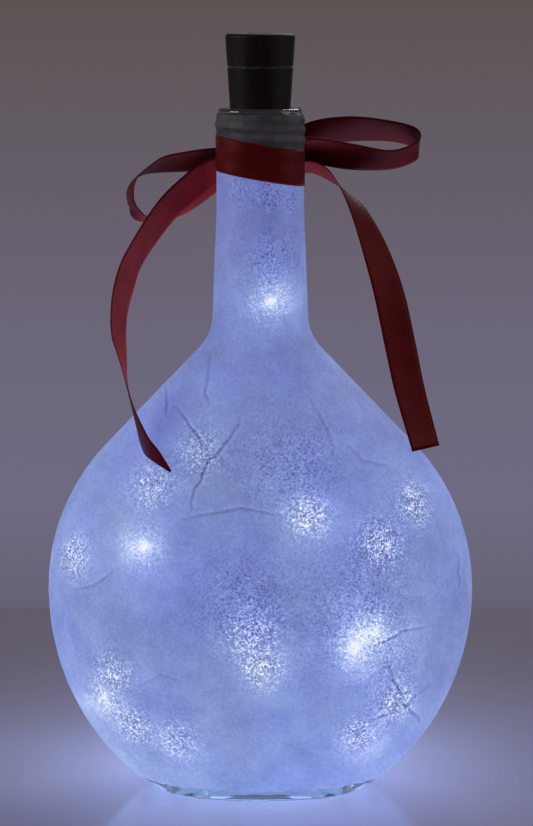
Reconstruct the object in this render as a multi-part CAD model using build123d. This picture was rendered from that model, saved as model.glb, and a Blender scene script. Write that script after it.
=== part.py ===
from build123d import *
import math
import os

# Cork bottle light: a flattened flask bottle wrapped in tissue paper, with a satin bow
# tied behind its neck, a cork-shaped battery holder in its mouth and a string of
# twenty lights inside. Millimetres, +Z up, origin at the middle of the base, front at -Y.

# Glass flask
bottle_height = 222.0
body_width = 137.4
body_depth = 80.8
belly_height = 66.0
lower_rise = 76.0
side_radius = 130.0
shoulder_slope = math.radians(46.2)
shoulder_fillet = 16.0
side_fillet = 40.0
neck_root_diameter = 30.0
neck_top_diameter = 27.3
neck_straight = 32.0
lip_diameter = 26.9
lip_straight = 1.6
lip_rounding = 1.0
glass_wall = 3.2
base_thickness = 6.5
base_rounding = 2.5
inside_rounding = 6.0
standing_ring = 5.0
punt_depth = 3.0
punt_inset = 8.0
mouth_bore = 19.8
mouth_depth = 24.0
section_count = 24

# Tissue paper wrap
paper_thickness = 0.3
paper_base_gap = 4.2
paper_lip_gap = 1.2

# Satin ribbon
ribbon_width = 11.2
ribbon_thickness = 0.3
ribbon_gap = 0.05
band_drop = 16.6
band_tilt = 9.8
knot_width = 11.0
knot_depth = 7.0
knot_tall = 12.0
knot_rounding = 2.4
knot_drop = 1.4
knot_gap = 0.25
tail_cut_place = (-32.1, 0, -92.2)
tail_cut_slant = 25.1
ribbon_clearance = 0.85
push_step = 0.25
strip_steps = 3

# Cork-shaped battery holder
cork_mouth_diameter = 19.3
cork_top_diameter = 22.4
cork_stand = 23.6
cork_insert = 15.0
cork_edge = 0.8
cap_height = 10.1
cap_edge = 1.2
cap_top_wall = 2.0
seal_thickness = 0.8
seal_inset = 0.25
spigot_diameter = 17.2
spigot_height = 3.9
spigot_clearance = 0.15
seat_gap = 0.05

# Cells, contacts and leads
cell_diameter = 11.6
cell_height = 5.4
cell_count = 3
cell_edge = 0.5
cell_clearance = 0.2
gland_diameter = 7.0
gland_length = 4.0
chamber_diameter = 9.6
contact_thickness = 0.4
contact_floor = 10.2
contact_dome = 1.6
contact_rim = 4.2
strip_width = 3.0
strip_reach = 1.6
strip_foot = 5.0
groove_clearance = 0.1
leaf_reach = 4.4
lead_diameter = 0.6
lead_offset = 1.5
lead_bend = 1.4

# Switch in the cap
board_thickness = 1.0
board_clearance = 0.1
switch_length = 8.0
switch_width = 3.6
switch_height = 2.2
switch_well = 1.0
slider_travel = 2.0
slider_length = 4.0
slider_width = 3.6
slider_height = 0.9
stem_length = 1.6
stem_width = 1.2
slide_clearance = 0.15
recess_depth = 1.2
recess_margin = 1.0
resistor_length = 3.2
resistor_width = 1.6
resistor_height = 0.6
resistor_offset = 4.6
chamber_cap_diameter = 14.0

# Light string
wire_diameter = 0.6
bead_length = 4.2
bead_diameter = 3.0
bead_hole_clearance = 0.02
light_run = 34.0
first_run = 30.0
end_run = 8.4
near_wall = 0.6
light_level = 0.95
level_step = 0.5
lead_shares = [(0.0, 0.4), (0.28, 0.68)]
light_places = [
    (3.4, -7.3, 94.6),
    (50.0, 0.0, 28.0),
    (29.7, -28.4, -13.2),
    (-27.4, 0.0, -51.4),
    (-22.0, 24.0, -4.0),
    (44.4, 1.0, -39.0),
    (0.5, -28.6, -19.6),
    (-42.2, 0.0, -45.7),
    (32.2, -17.5, -44.7),
    (18.0, 24.8, 0.0),
    (-20.3, 21.6, 41.0),
    (-60.8, 0.0, 10.6),
    (-2.5, 15.5, -20.3),
    (39.5, 12.5, 12.1),
    (15.3, -28.8, 28.8),
    (-36.0, 22.6, 29.8),
    (-50.0, -13.1, -33.3),
    (-49.0, 14.0, -32.4),
    (-36.6, -25.2, 18.5),
    (36.0, -22.6, -9.6),
]

os.makedirs("parts", exist_ok=True)


def save(solid, name):
    """Writes one piece to its own file."""
    export_step(solid, f"parts/{name}.step")


# Outlines of the flask, as half sizes at a height

belly_radius = body_width / 2
neck_root_radius = neck_root_diameter / 2
neck_top_radius = neck_top_diameter / 2
neck_taper_end = bottle_height - neck_straight
tangent_height = belly_height + belly_radius * math.cos(shoulder_slope)
tangent_half = belly_radius * math.sin(shoulder_slope)
corner_height = tangent_height + (tangent_half - neck_root_radius) * math.tan(shoulder_slope)
fillet_length = shoulder_fillet * math.tan((math.pi / 2 - shoulder_slope) / 2)
neck_root_height = corner_height + fillet_length
fillet_start = corner_height - fillet_length * math.sin(shoulder_slope)
side_centre = body_depth / 2 - side_radius
side_fillet_across = neck_root_radius + side_fillet
side_fillet_height = belly_height + math.sqrt(
    (side_radius + side_fillet) ** 2 - (side_fillet_across - side_centre) ** 2
)
side_meet = belly_height + (side_fillet_height - belly_height) * side_radius / (side_radius + side_fillet)


def neck_half(z):
    """The neck's radius, which tapers from its root to a straight top."""
    rise = min(max(z, neck_root_height), neck_taper_end) - neck_root_height
    taper = (neck_root_radius - neck_top_radius) / (neck_taper_end - neck_root_height)
    return neck_root_radius - taper * rise


def front_half(z):
    """Half the width: an ellipse below the belly, then a circle, a straight shoulder and a fillet."""
    if z <= belly_height:
        return belly_radius * math.sqrt(1 - ((belly_height - z) / lower_rise) ** 2)
    if z <= tangent_height:
        return math.sqrt(belly_radius**2 - (z - belly_height) ** 2)
    if z <= fillet_start:
        return tangent_half - (z - tangent_height) / math.tan(shoulder_slope)
    if z <= neck_root_height:
        across = neck_root_radius + shoulder_fillet
        return across - math.sqrt(shoulder_fillet**2 - (neck_root_height - z) ** 2)
    return neck_half(z)


def side_half(z):
    """Half the depth: one long arc from the base that runs into the neck by a wide fillet."""
    if z <= side_meet:
        return side_centre + math.sqrt(side_radius**2 - (z - belly_height) ** 2)
    if z <= side_fillet_height:
        return side_fillet_across - math.sqrt(side_fillet**2 - (side_fillet_height - z) ** 2)
    return neck_half(z)


def flask(grow, bottom):
    """The body between a height and the root of the neck, its oval sections grown by a width."""
    step = (neck_root_height - bottom) / section_count
    heights = [bottom + step * k for k in range(section_count + 1)]
    sections = [
        Pos(0, 0, z) * Ellipse(front_half(z) + grow, side_half(z) + grow) for z in heights
    ]
    return loft(sections)


def turned(points):
    """A solid of revolution about Z from a closed outline of (radius, height) points."""
    outline = make_face(Plane.XZ * Polyline(*points, close=True))
    return revolve(outline, Axis.Z)


def ring(outer, inner, bottom, top):
    """A round ring between two heights, from its radii."""
    return turned([(inner, bottom), (outer, bottom), (outer, top), (inner, top)])


def lowest_edges(solid):
    """The edges round the lowest flat face."""
    return solid.faces().sort_by(Axis.Z)[0].edges()


# Glass bottle

def neck(grow, top):
    """The neck from its root up to a height, grown by a width."""
    return turned(
        [
            (0, neck_root_height),
            (neck_root_radius + grow, neck_root_height),
            (neck_top_radius + grow, neck_taper_end),
            (neck_top_radius + grow, top),
            (0, top),
        ]
    )


lip_radius = lip_diameter / 2
mouth_radius = mouth_bore / 2
lip_foot = bottle_height - (neck_top_radius - lip_radius) - lip_straight
body_outside = flask(0, 0)
body_outside = fillet(lowest_edges(body_outside), base_rounding)
lip = turned(
    [
        (0, lip_foot),
        (neck_top_radius, lip_foot),
        (lip_radius, lip_foot + neck_top_radius - lip_radius),
        (lip_radius, bottle_height),
        (0, bottle_height),
    ]
)
lip = fillet(lip.edges().group_by(Axis.Z)[-1], lip_rounding)
outside = body_outside + neck(0, lip_foot) + lip

body_inside = flask(-glass_wall, base_thickness)
body_inside = fillet(lowest_edges(body_inside), inside_rounding)
neck_inside = turned(
    [
        (0, neck_root_height),
        (neck_root_radius - glass_wall, neck_root_height),
        (mouth_radius, bottle_height - mouth_depth),
        (mouth_radius, bottle_height),
        (0, bottle_height),
    ]
)
punt_width = front_half(0) - base_rounding - standing_ring
punt_across = side_half(0) - base_rounding - standing_ring
punt = loft(
    [
        Ellipse(punt_width, punt_across),
        Pos(0, 0, punt_depth) * Ellipse(punt_width - punt_inset, punt_across - punt_inset),
    ]
)
glass_bottle = outside - body_inside - neck_inside - punt
save(glass_bottle, "glass_bottle")

# Paper wrap, on the glass from just above the base to just below the lip
paper_top = bottle_height - paper_lip_gap
paper_radius = neck_top_radius + paper_thickness
paper_wrap = flask(paper_thickness, paper_base_gap) + neck(paper_thickness, lip_foot)
paper_wrap += turned(
    [
        (0, lip_foot),
        (paper_radius, lip_foot),
        (paper_radius - (paper_top - lip_foot), paper_top),
        (0, paper_top),
    ]
)
paper_wrap -= outside
save(paper_wrap, "paper_wrap")

# Ribbon: a slanted band flat on the neck, and a knot behind it
band_height = bottle_height - band_drop
band_inner = paper_radius + ribbon_gap
band_outer = band_inner + ribbon_thickness
band_blank = ring(band_outer, band_inner, band_height - ribbon_width, band_height + ribbon_width)
band_slab = Box(4 * band_outer, 4 * band_outer, ribbon_width)
ribbon_neck_band = band_blank & (Pos(0, 0, band_height) * Rot(0, band_tilt, 0) * band_slab)
save(ribbon_neck_band, "ribbon_neck_band")

knot_front = band_outer + ribbon_gap
knot_middle = knot_front + knot_depth / 2
knot_height = band_height - knot_drop
bow_knot = Pos(0, knot_middle, knot_height) * Box(knot_width, knot_depth, knot_tall)
bow_knot = fillet(bow_knot.edges(), knot_rounding)
save(bow_knot, "bow_knot")
knot_side = knot_width / 2 + knot_gap


def smooth(values, place):
    """The value at a place along a row of values, on a curve that passes through each of them."""
    last = len(values) - 1
    k = min(int(place), last - 1)
    t = place - k
    near, far = Vector(*values[k]), Vector(*values[k + 1])
    before = Vector(*values[k - 1]) if k else near * 2 - far
    after = Vector(*values[k + 2]) if k + 2 <= last else far * 2 - near
    bend = (before * -1 + near * 3 - far * 3 + after) * t**3
    bend += (before * 2 - near * 5 + far * 4 - after) * t**2
    return near + (bend + (far - before) * t) * 0.5


def stand_off(place):
    """How far out a place is from the bottle, on the line to the bottle's axis."""
    level = math.hypot(place.X / front_half(place.Z), place.Y / side_half(place.Z))
    return math.hypot(place.X, place.Y) * (1 - 1 / level)


def off_bottle(middle, across):
    """The middle itself, or further out where the ribbon would come too near the bottle."""
    spread = across * ribbon_width / 2
    out = Vector(middle.X, middle.Y, 0).normalized()
    while min(stand_off(middle + spread * side) for side in (-1, 0, 1)) < ribbon_clearance:
        middle += out * push_step
    return middle


def ribbon_strip(stations, first_heading, last_heading=None):
    """A flat strip lofted along its middle line. A station is its middle and the way across it."""
    knot = Vector(0, knot_middle, knot_height)
    count = (len(stations) - 1) * strip_steps
    places = [k / strip_steps for k in range(count + 1)]
    acrosses = [smooth([across for middle, across in stations], place) for place in places]
    middles = [knot + smooth([middle for middle, across in stations], place) for place in places]
    middles = [off_bottle(middle, across) for middle, across in zip(middles, acrosses)]
    headings = [middles[min(k + 1, count)] - middles[max(k - 1, 0)] for k in range(count + 1)]
    headings[0] = Vector(*first_heading)
    if last_heading:
        headings[-1] = Vector(*last_heading)
    sections = []
    for middle, across, heading in zip(middles, acrosses, headings):
        heading = heading.normalized()
        level = (across - heading * heading.dot(across)).normalized() * across.length
        middle = off_bottle(middle, level)
        section = Plane(origin=middle, x_dir=level, z_dir=heading)
        sections.append(section * Rectangle(ribbon_width * across.length, ribbon_thickness))
    return loft(sections)


# Loops and tails, each with its own turn and twist, measured from the middle of the knot. The
# length of the way across is the share of the ribbon's width, which the knot gathers.
loop_right = [
    ((knot_side, 0.75, 3.2), (0.0, -0.38, 0.47)),
    ((16.0, 1.75, 8.2), (0.05, -0.63, 0.78)),
    ((29.0, 0.2, 10.4), (0.06, -0.66, 0.75)),
    ((42.0, -2.9, 9.9), (0.06, -0.78, 0.62)),
    ((50.2, -5.9, 7.7), (0.04, -0.80, 0.60)),
    ((50.6, -8.6, 4.0), (0.0, -0.80, 0.60)),
    ((42.0, -9.6, 1.0), (-0.04, -0.80, 0.60)),
    ((29.0, -8.9, 2.0), (-0.08, -0.60, 0.80)),
    ((16.0, -6.05, 3.7), (-0.08, -0.61, 0.79)),
    ((knot_side, -0.65, 2.0), (0.0, -0.38, 0.47)),
]
loop_left = [
    ((-knot_side, 0.55, 2.4), (0.0, -0.44, 0.40)),
    ((-14.6, -0.85, 0.9), (0.04, -0.76, 0.65)),
    ((-23.0, -3.45, 0.2), (0.10, -0.76, 0.64)),
    ((-33.6, -8.05, -1.0), (0.40, -0.76, 0.52)),
    ((-40.2, -11.45, -5.0), (0.22, -0.95, 0.20)),
    ((-41.9, -12.85, -9.8), (0.25, -0.97, 0.06)),
    ((-40.6, -12.3, -14.2), (0.25, -0.96, 0.10)),
    ((-36.6, -9.4, -17.4), (0.24, -0.92, 0.31)),
    ((-25.0, -1.85, -15.0), (0.10, -0.86, 0.50)),
    ((-14.0, 1.35, -6.4), (0.0, -0.76, 0.65)),
    ((-knot_side, -0.85, 0.4), (0.0, -0.44, 0.40)),
]
tail_left = [
    ((-knot_side, -1.45, -3.2), (0.0, -0.44, 0.40)),
    ((-15.6, -6.25, -3.6), (-0.30, -0.64, 0.70)),
    ((-24.0, -13.85, -9), (-0.40, -0.64, 0.66)),
    ((-31.4, -18.85, -16.2), (-0.50, -0.72, 0.46)),
    ((-40.2, -23.45, -29.4), (-0.50, -0.82, 0.26)),
    ((-43.4, -26.45, -38.2), (-0.52, -0.84, 0.14)),
    ((-44.9, -29.05, -46), (-0.43, -0.90, 0.04)),
    ((-45.0, -31.45, -53.2), (-0.34, -0.94, 0.0)),
    ((-44.0, -33.65, -59.4), (-0.18, -0.98, 0.0)),
    ((-42.5, -36.65, -66.8), (0.02, -1.0, 0.0)),
    ((-40.0, -39.75, -76.2), (0.16, -0.98, -0.06)),
    ((-36.9, -43.3, -84.6), (0.38, -0.90, -0.18)),
    ((-33.9, -46.1, -90.2), (0.56, -0.78, -0.26)),
    ((-30.6, -48.9, -96.6), (0.66, -0.68, -0.30)),
]
tail_right = [
    ((knot_side, -1.25, -3.2), (0.0, -0.50, 0.33)),
    ((10.4, -1.45, -2.8), (0.02, -0.72, 0.36)),
    ((16.4, -2.65, -2.0), (0.05, -0.92, 0.38)),
    ((22.0, -5.65, -4.0), (0.05, -0.94, 0.32)),
    ((26.8, -8.85, -8.4), (-0.10, -0.99, 0.08)),
    ((31.4, -11.85, -14.8), (-0.40, -0.90, -0.12)),
    ((36.4, -14.85, -26), (-0.70, -0.70, -0.12)),
    ((41.3, -17.45, -41), (-0.86, -0.50, -0.12)),
    ((45.1, -19.85, -58.2), (-0.88, -0.44, -0.16)),
    ((48.2, -22.25, -72.6), (-0.83, -0.50, -0.22)),
    ((53.2, -26.4, -90.6), (-0.66, -0.62, -0.42)),
]
right_way = (1, 0, 0)
left_way = (-1, 0, 0)
save(ribbon_strip(loop_right, right_way, left_way), "bow_loop_right")
save(ribbon_strip(loop_left, left_way, right_way), "bow_loop_left")
tail_end = Plane(
    origin=Vector(0, knot_middle, knot_height) + Vector(*tail_cut_place),
    z_dir=(-math.sin(math.radians(tail_cut_slant)), 0, -math.cos(math.radians(tail_cut_slant))),
)
save(split(ribbon_strip(tail_left, left_way), tail_end, keep=Keep.BOTTOM), "bow_tail_left")
save(ribbon_strip(tail_right, right_way), "bow_tail_right")

# Cork: a tapered shell below, a spigot that the cap screws on, and the cap above a seal
cork_top = bottle_height + cork_stand
cork_bottom = bottle_height - cork_insert
cap_bottom = cork_top - cap_height
shell_top = cap_bottom - seal_thickness
spigot_top = cap_bottom + spigot_height
spigot_radius = spigot_diameter / 2
cork_taper = (cork_top_diameter - cork_mouth_diameter) / 2 / cork_stand


def cork_radius(z):
    """The cork's radius at a height."""
    return cork_mouth_diameter / 2 + (z - bottle_height) * cork_taper


cell_radius = cell_diameter / 2
well_radius = cell_radius + cell_clearance
gland_radius = gland_diameter / 2
gland_top = cork_bottom + gland_length
contact_seat = cork_bottom + contact_floor
cell_floor = contact_seat + contact_thickness + contact_dome
strip_inner = well_radius + groove_clearance
strip_outer = strip_inner + contact_thickness
strip_bottom = cork_bottom + strip_foot
groove_outer = strip_outer + groove_clearance

cork_shell = turned(
    [
        (gland_radius, cork_bottom),
        (cork_radius(cork_bottom) - cork_edge, cork_bottom),
        (cork_radius(cork_bottom + cork_edge), cork_bottom + cork_edge),
        (cork_radius(shell_top), shell_top),
        (spigot_radius, shell_top),
        (spigot_radius, spigot_top),
        (well_radius, spigot_top),
        (well_radius, contact_seat),
        (chamber_diameter / 2, contact_seat),
        (chamber_diameter / 2, gland_top),
        (gland_radius, gland_top),
    ]
)
groove_tall = spigot_top - strip_bottom
groove_wide = strip_width + 2 * groove_clearance
groove = Pos(0, groove_outer / 2, strip_bottom + groove_tall / 2) * Box(
    groove_wide, groove_outer, groove_tall
)
save(cork_shell - groove, "cork_shell")

wire_gland = ring(gland_radius, wire_diameter / 2, cork_bottom, gland_top)
save(wire_gland, "wire_gland")

negative_contact = turned(
    [
        (cell_radius, contact_seat),
        (contact_rim, contact_seat),
        (contact_rim - contact_dome, contact_seat + contact_dome),
        (0, contact_seat + contact_dome),
        (0, cell_floor),
        (contact_rim - contact_dome, cell_floor),
        (contact_rim, contact_seat + contact_thickness),
        (cell_radius, contact_seat + contact_thickness),
    ]
)
save(negative_contact, "negative_contact")

for number in range(cell_count):
    low = cell_floor + number * cell_height
    button_cell = Pos(0, 0, low + cell_height / 2) * Cylinder(cell_radius, cell_height)
    button_cell = fillet(button_cell.edges().filter_by(GeomType.CIRCLE), cell_edge)
    save(button_cell, f"button_cell_{number + 1}")

# Side strip: it stands in the well's groove and bends out over the spigot's rim
board_bottom = spigot_top + contact_thickness + seat_gap
strip_upright = Pos(0, (strip_inner + strip_outer) / 2, (strip_bottom + spigot_top) / 2) * Box(
    strip_width, contact_thickness, spigot_top - strip_bottom
)
strip_bend = Pos(0, strip_inner + strip_reach / 2, spigot_top + contact_thickness / 2) * Box(
    strip_width, strip_reach, contact_thickness
)
save(strip_upright + strip_bend, "side_contact_strip")


def tube(path, diameter):
    """A round wire along a path."""
    return sweep(Plane(origin=path @ 0, z_dir=path % 0) * Circle(diameter / 2), path=path)


negative_lead = Line((0, -lead_offset, gland_top), (0, -lead_offset, contact_seat + contact_dome))
save(tube(negative_lead, lead_diameter), "negative_lead")
lead_turn = strip_bottom + lead_diameter
positive_lead = FilletPolyline(
    (0, lead_offset, gland_top),
    (0, lead_offset, lead_turn + lead_bend),
    (0, strip_inner, lead_turn + lead_bend),
    radius=lead_bend,
)
save(tube(positive_lead, lead_diameter), "positive_lead")

# Cap with its recess, slot and board
board_top = board_bottom + board_thickness
cap_bore = spigot_radius + spigot_clearance
cap_ceiling = cork_top - cap_top_wall
cork_cap = turned(
    [
        (cap_bore, cap_bottom),
        (cork_radius(cap_bottom), cap_bottom),
        (cork_radius(cork_top), cork_top),
        (0, cork_top),
        (0, cap_ceiling),
        (chamber_cap_diameter / 2, cap_ceiling),
        (chamber_cap_diameter / 2, board_top),
        (cap_bore, board_top),
    ]
)
cork_cap = fillet(cork_cap.edges().group_by(Axis.Z)[-1], cap_edge)
recess_floor = cork_top - recess_depth
recess_length = slider_length + slider_travel + 2 * recess_margin
recess_width = slider_width + 2 * recess_margin
recess = Pos(0, 0, cork_top - recess_depth / 2) * Box(recess_length, recess_width, recess_depth)
recess = fillet(recess.edges().filter_by(Axis.Z), recess_margin)
slot_length = stem_length + slider_travel + 2 * slide_clearance
slot_width = stem_width + 2 * slide_clearance
slot = Pos(0, 0, (cap_ceiling + recess_floor) / 2) * Box(
    slot_length, slot_width, recess_floor - cap_ceiling
)
save(cork_cap - recess - slot, "cork_cap")

cap_seal_ring = ring(
    cork_radius(shell_top) - seal_inset, cap_bore, shell_top + seat_gap, cap_bottom - seat_gap
)
save(cap_seal_ring, "cap_seal_ring")

circuit_board = ring(cap_bore - board_clearance, 0, board_bottom, board_top)
save(circuit_board, "circuit_board")

switch_top = board_top + switch_height
well_top = switch_top - switch_well
slide_switch_body = Pos(0, 0, board_top + switch_height / 2) * Box(
    switch_length, switch_width, switch_height
)
slide_switch_body -= Pos(0, 0, switch_top - switch_well / 2) * Box(slot_length, slot_width, switch_well)
save(slide_switch_body, "slide_switch_body")

series_resistor = Pos(0, resistor_offset, board_top + resistor_height / 2) * Box(
    resistor_length, resistor_width, resistor_height
)
save(series_resistor, "series_resistor")

# Slider at the end of its travel where the lights are on
slider_rest = -slider_travel / 2
stem_bottom = well_top + slide_clearance
stem_top = recess_floor + slide_clearance
switch_slider = Pos(slider_rest, 0, (stem_bottom + stem_top) / 2) * Box(
    stem_length, stem_width, stem_top - stem_bottom
)
knob = Pos(slider_rest, 0, stem_top + slider_height / 2) * Box(slider_length, slider_width, slider_height)
save(switch_slider + knob, "switch_slider")

# Sprung leaf under the board, bent down and back to press on the top cell
cells_top = cell_floor + cell_count * cell_height
leaf_top = board_bottom - contact_thickness / 2
leaf_low = cells_top + seat_gap + contact_thickness / 2
leaf_line = Polyline(
    (-leaf_reach, leaf_top),
    (leaf_reach, leaf_top),
    (leaf_reach, (leaf_top + leaf_low) / 2),
    (0, leaf_low),
    (-leaf_reach / 2, (leaf_top + leaf_low) / 2),
)
leaf_face = Plane.XZ * trace(leaf_line, contact_thickness)
positive_contact = extrude(leaf_face, amount=strip_width / 2, both=True)
save(positive_contact, "positive_contact")

# Light string


def inside_level(x, y, z):
    """0 on the bottle's axis and 1 at the inside of the glass."""
    across = x / (front_half(z) - glass_wall)
    through = y / (side_half(z) - glass_wall)
    return math.hypot(across, through)


def kept_inside(place):
    """A place measured from the belly, brought nearer the axis where a light would touch the glass."""
    x, y, rise = place
    z = belly_height + rise
    share = min(1, light_level / inside_level(x, y, z))
    return (x * share, y * share, z)


lights = [kept_inside(place) for place in light_places]


def away_from_glass(place):
    """The way straight out through the glass at a place."""
    x, y, z = place
    rise = (inside_level(x, y, z + level_step) - inside_level(x, y, z - level_step)) / (2 * level_step)
    across = x / (front_half(z) - glass_wall) ** 2
    through = y / (side_half(z) - glass_wall) ** 2
    return Vector(across, through, rise * inside_level(x, y, z)).normalized()


def light_heading(number):
    """The wire's way through a light, from the light before it to the one after, along the glass."""
    if number == 0:
        return Vector(0, 0, -1)
    ahead = Vector(*lights[min(number + 1, len(lights) - 1)])
    heading = ahead - Vector(*lights[number - 1])
    if inside_level(*lights[number]) > near_wall:
        out = away_from_glass(lights[number])
        heading -= out * out.dot(heading)
    return heading.normalized()


route = []
for number, place in enumerate(lights):
    before = first_run / 2 if number == 0 else light_run / 2
    after = end_run if number == len(lights) - 1 else before
    route.append(Vector(*place) - light_heading(number) * before)
    route.append(Vector(*place) + light_heading(number) * after)


def bend_radii(points):
    """The radius of the arc at each inner point, from its shorter run and its turn."""
    radii = []
    for before, here, after in zip(points, points[1:], points[2:]):
        turn = math.radians((here - before).get_angle(after - here))
        shorter = min((here - before).length, (after - here).length)
        radii.append(0.45 * shorter / math.tan(turn / 2))
    return radii


def wire_path(points):
    """Straight runs joined by arcs."""
    return FilletPolyline(*points, radius=bend_radii(points))


string_path = wire_path(route)
string_wire = tube(string_path, wire_diameter)
save(string_wire, "string_wire")

gland_exit = Vector(0, 0, gland_top)
lead_reach = route[0] - gland_exit
lead_route = [gland_exit]
for sideways, down in lead_shares:
    step = Vector(lead_reach.X * sideways, lead_reach.Y * sideways, lead_reach.Z * down)
    lead_route.append(gland_exit + step)
lead_route.append(route[0])
lead_path = wire_path(lead_route)
lead_wire = tube(lead_path, wire_diameter)
save(lead_wire, "lead_wire")

bead_hole = wire_diameter / 2 + bead_hole_clearance
bead_outline = make_face(
    Plane.XZ
    * (
        Line((bead_hole, -bead_length / 2), (bead_hole, bead_length / 2))
        + Spline(
            (bead_hole, bead_length / 2), (bead_diameter / 2, 0), (bead_hole, -bead_length / 2),
            tangents=[(1, 0), (-1, 0)],
        )
    )
)
bead = revolve(bead_outline, Axis.Z)
for number, place in enumerate(lights):
    light_bead = Plane(origin=place, z_dir=light_heading(number)) * bead
    save(light_bead, f"light_bead_{number + 1:02d}")

wire_area = math.pi * wire_diameter**2 / 4
volume_share = string_wire.volume / wire_area / string_path.length
print("string", round(string_path.length), "mm, least radius", round(min(bend_radii(route)), 1))
print("string volume against section times length", round(volume_share, 3))
print("lead", round(lead_path.length), "mm, least radius", round(min(bend_radii(lead_route)), 1))
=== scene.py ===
import math

import bpy
import numpy as np
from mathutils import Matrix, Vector, noise


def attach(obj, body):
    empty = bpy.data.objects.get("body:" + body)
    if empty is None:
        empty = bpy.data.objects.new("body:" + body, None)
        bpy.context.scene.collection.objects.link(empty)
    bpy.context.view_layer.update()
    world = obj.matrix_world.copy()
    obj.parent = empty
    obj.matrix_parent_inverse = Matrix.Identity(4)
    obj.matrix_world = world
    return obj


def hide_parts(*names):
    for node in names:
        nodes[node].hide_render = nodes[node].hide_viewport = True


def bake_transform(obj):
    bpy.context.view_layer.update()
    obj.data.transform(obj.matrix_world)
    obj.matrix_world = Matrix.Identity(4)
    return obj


# Cork bottle light: a flask wrapped in tissue paper and lit from inside, with a satin bow
# at its neck and a cork-shaped battery holder in its mouth. Shapes are in millimetres and
# become metres as they are made.

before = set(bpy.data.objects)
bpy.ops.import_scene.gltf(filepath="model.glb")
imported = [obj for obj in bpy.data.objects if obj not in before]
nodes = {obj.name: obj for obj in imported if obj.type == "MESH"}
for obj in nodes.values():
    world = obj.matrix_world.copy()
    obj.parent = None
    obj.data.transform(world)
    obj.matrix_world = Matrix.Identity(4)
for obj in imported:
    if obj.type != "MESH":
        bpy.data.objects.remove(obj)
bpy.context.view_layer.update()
MM = 0.001


# Finishes


def linear(code):
    """A colour written as an sRGB hex value, as the linear numbers that a shader takes."""
    parts = [int(code[k : k + 2], 16) / 255 for k in (1, 3, 5)]
    return (*[p / 12.92 if p <= 0.04045 else ((p + 0.055) / 1.055) ** 2.4 for p in parts], 1.0)


def fill(finish, target, sockets):
    """Sets a node's sockets to values, or links them to other nodes' sockets."""
    for name, value in sockets.items():
        if isinstance(value, bpy.types.NodeSocket):
            finish.node_tree.links.new(value, target.inputs[name])
        else:
            target.inputs[name].default_value = value


def add(finish, kind, sockets, stops=(), gives=None, **fields):
    """Adds a node with its fields, sockets and colour stops, and gives one output or the first in use."""
    made = finish.node_tree.nodes.new("ShaderNode" + kind)
    for field, value in fields.items():
        setattr(made, field, value)
    fill(finish, made, sockets)
    for k, (place, code) in enumerate(stops):
        element = made.color_ramp.elements[k] if k < 2 else made.color_ramp.elements.new(place)
        element.position = place
        element.color = linear(code)
    if gives:
        return made.outputs[gives]
    return next(socket for socket in made.outputs if socket.enabled)


def new_finish(name, sockets):
    """A finish with one surface shader, its plain sockets set."""
    finish = bpy.data.materials.new(name)
    finish.use_nodes = True
    fill(finish, finish.node_tree.nodes["Principled BSDF"], sockets)
    return finish


def surface(finish, sockets):
    """Links a finish's patterns into its surface shader."""
    fill(finish, finish.node_tree.nodes["Principled BSDF"], sockets)


def per_mm(size):
    """A pattern's scale in metres from the size of its grain in millimetres."""
    return 1 / (size * MM)


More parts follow.
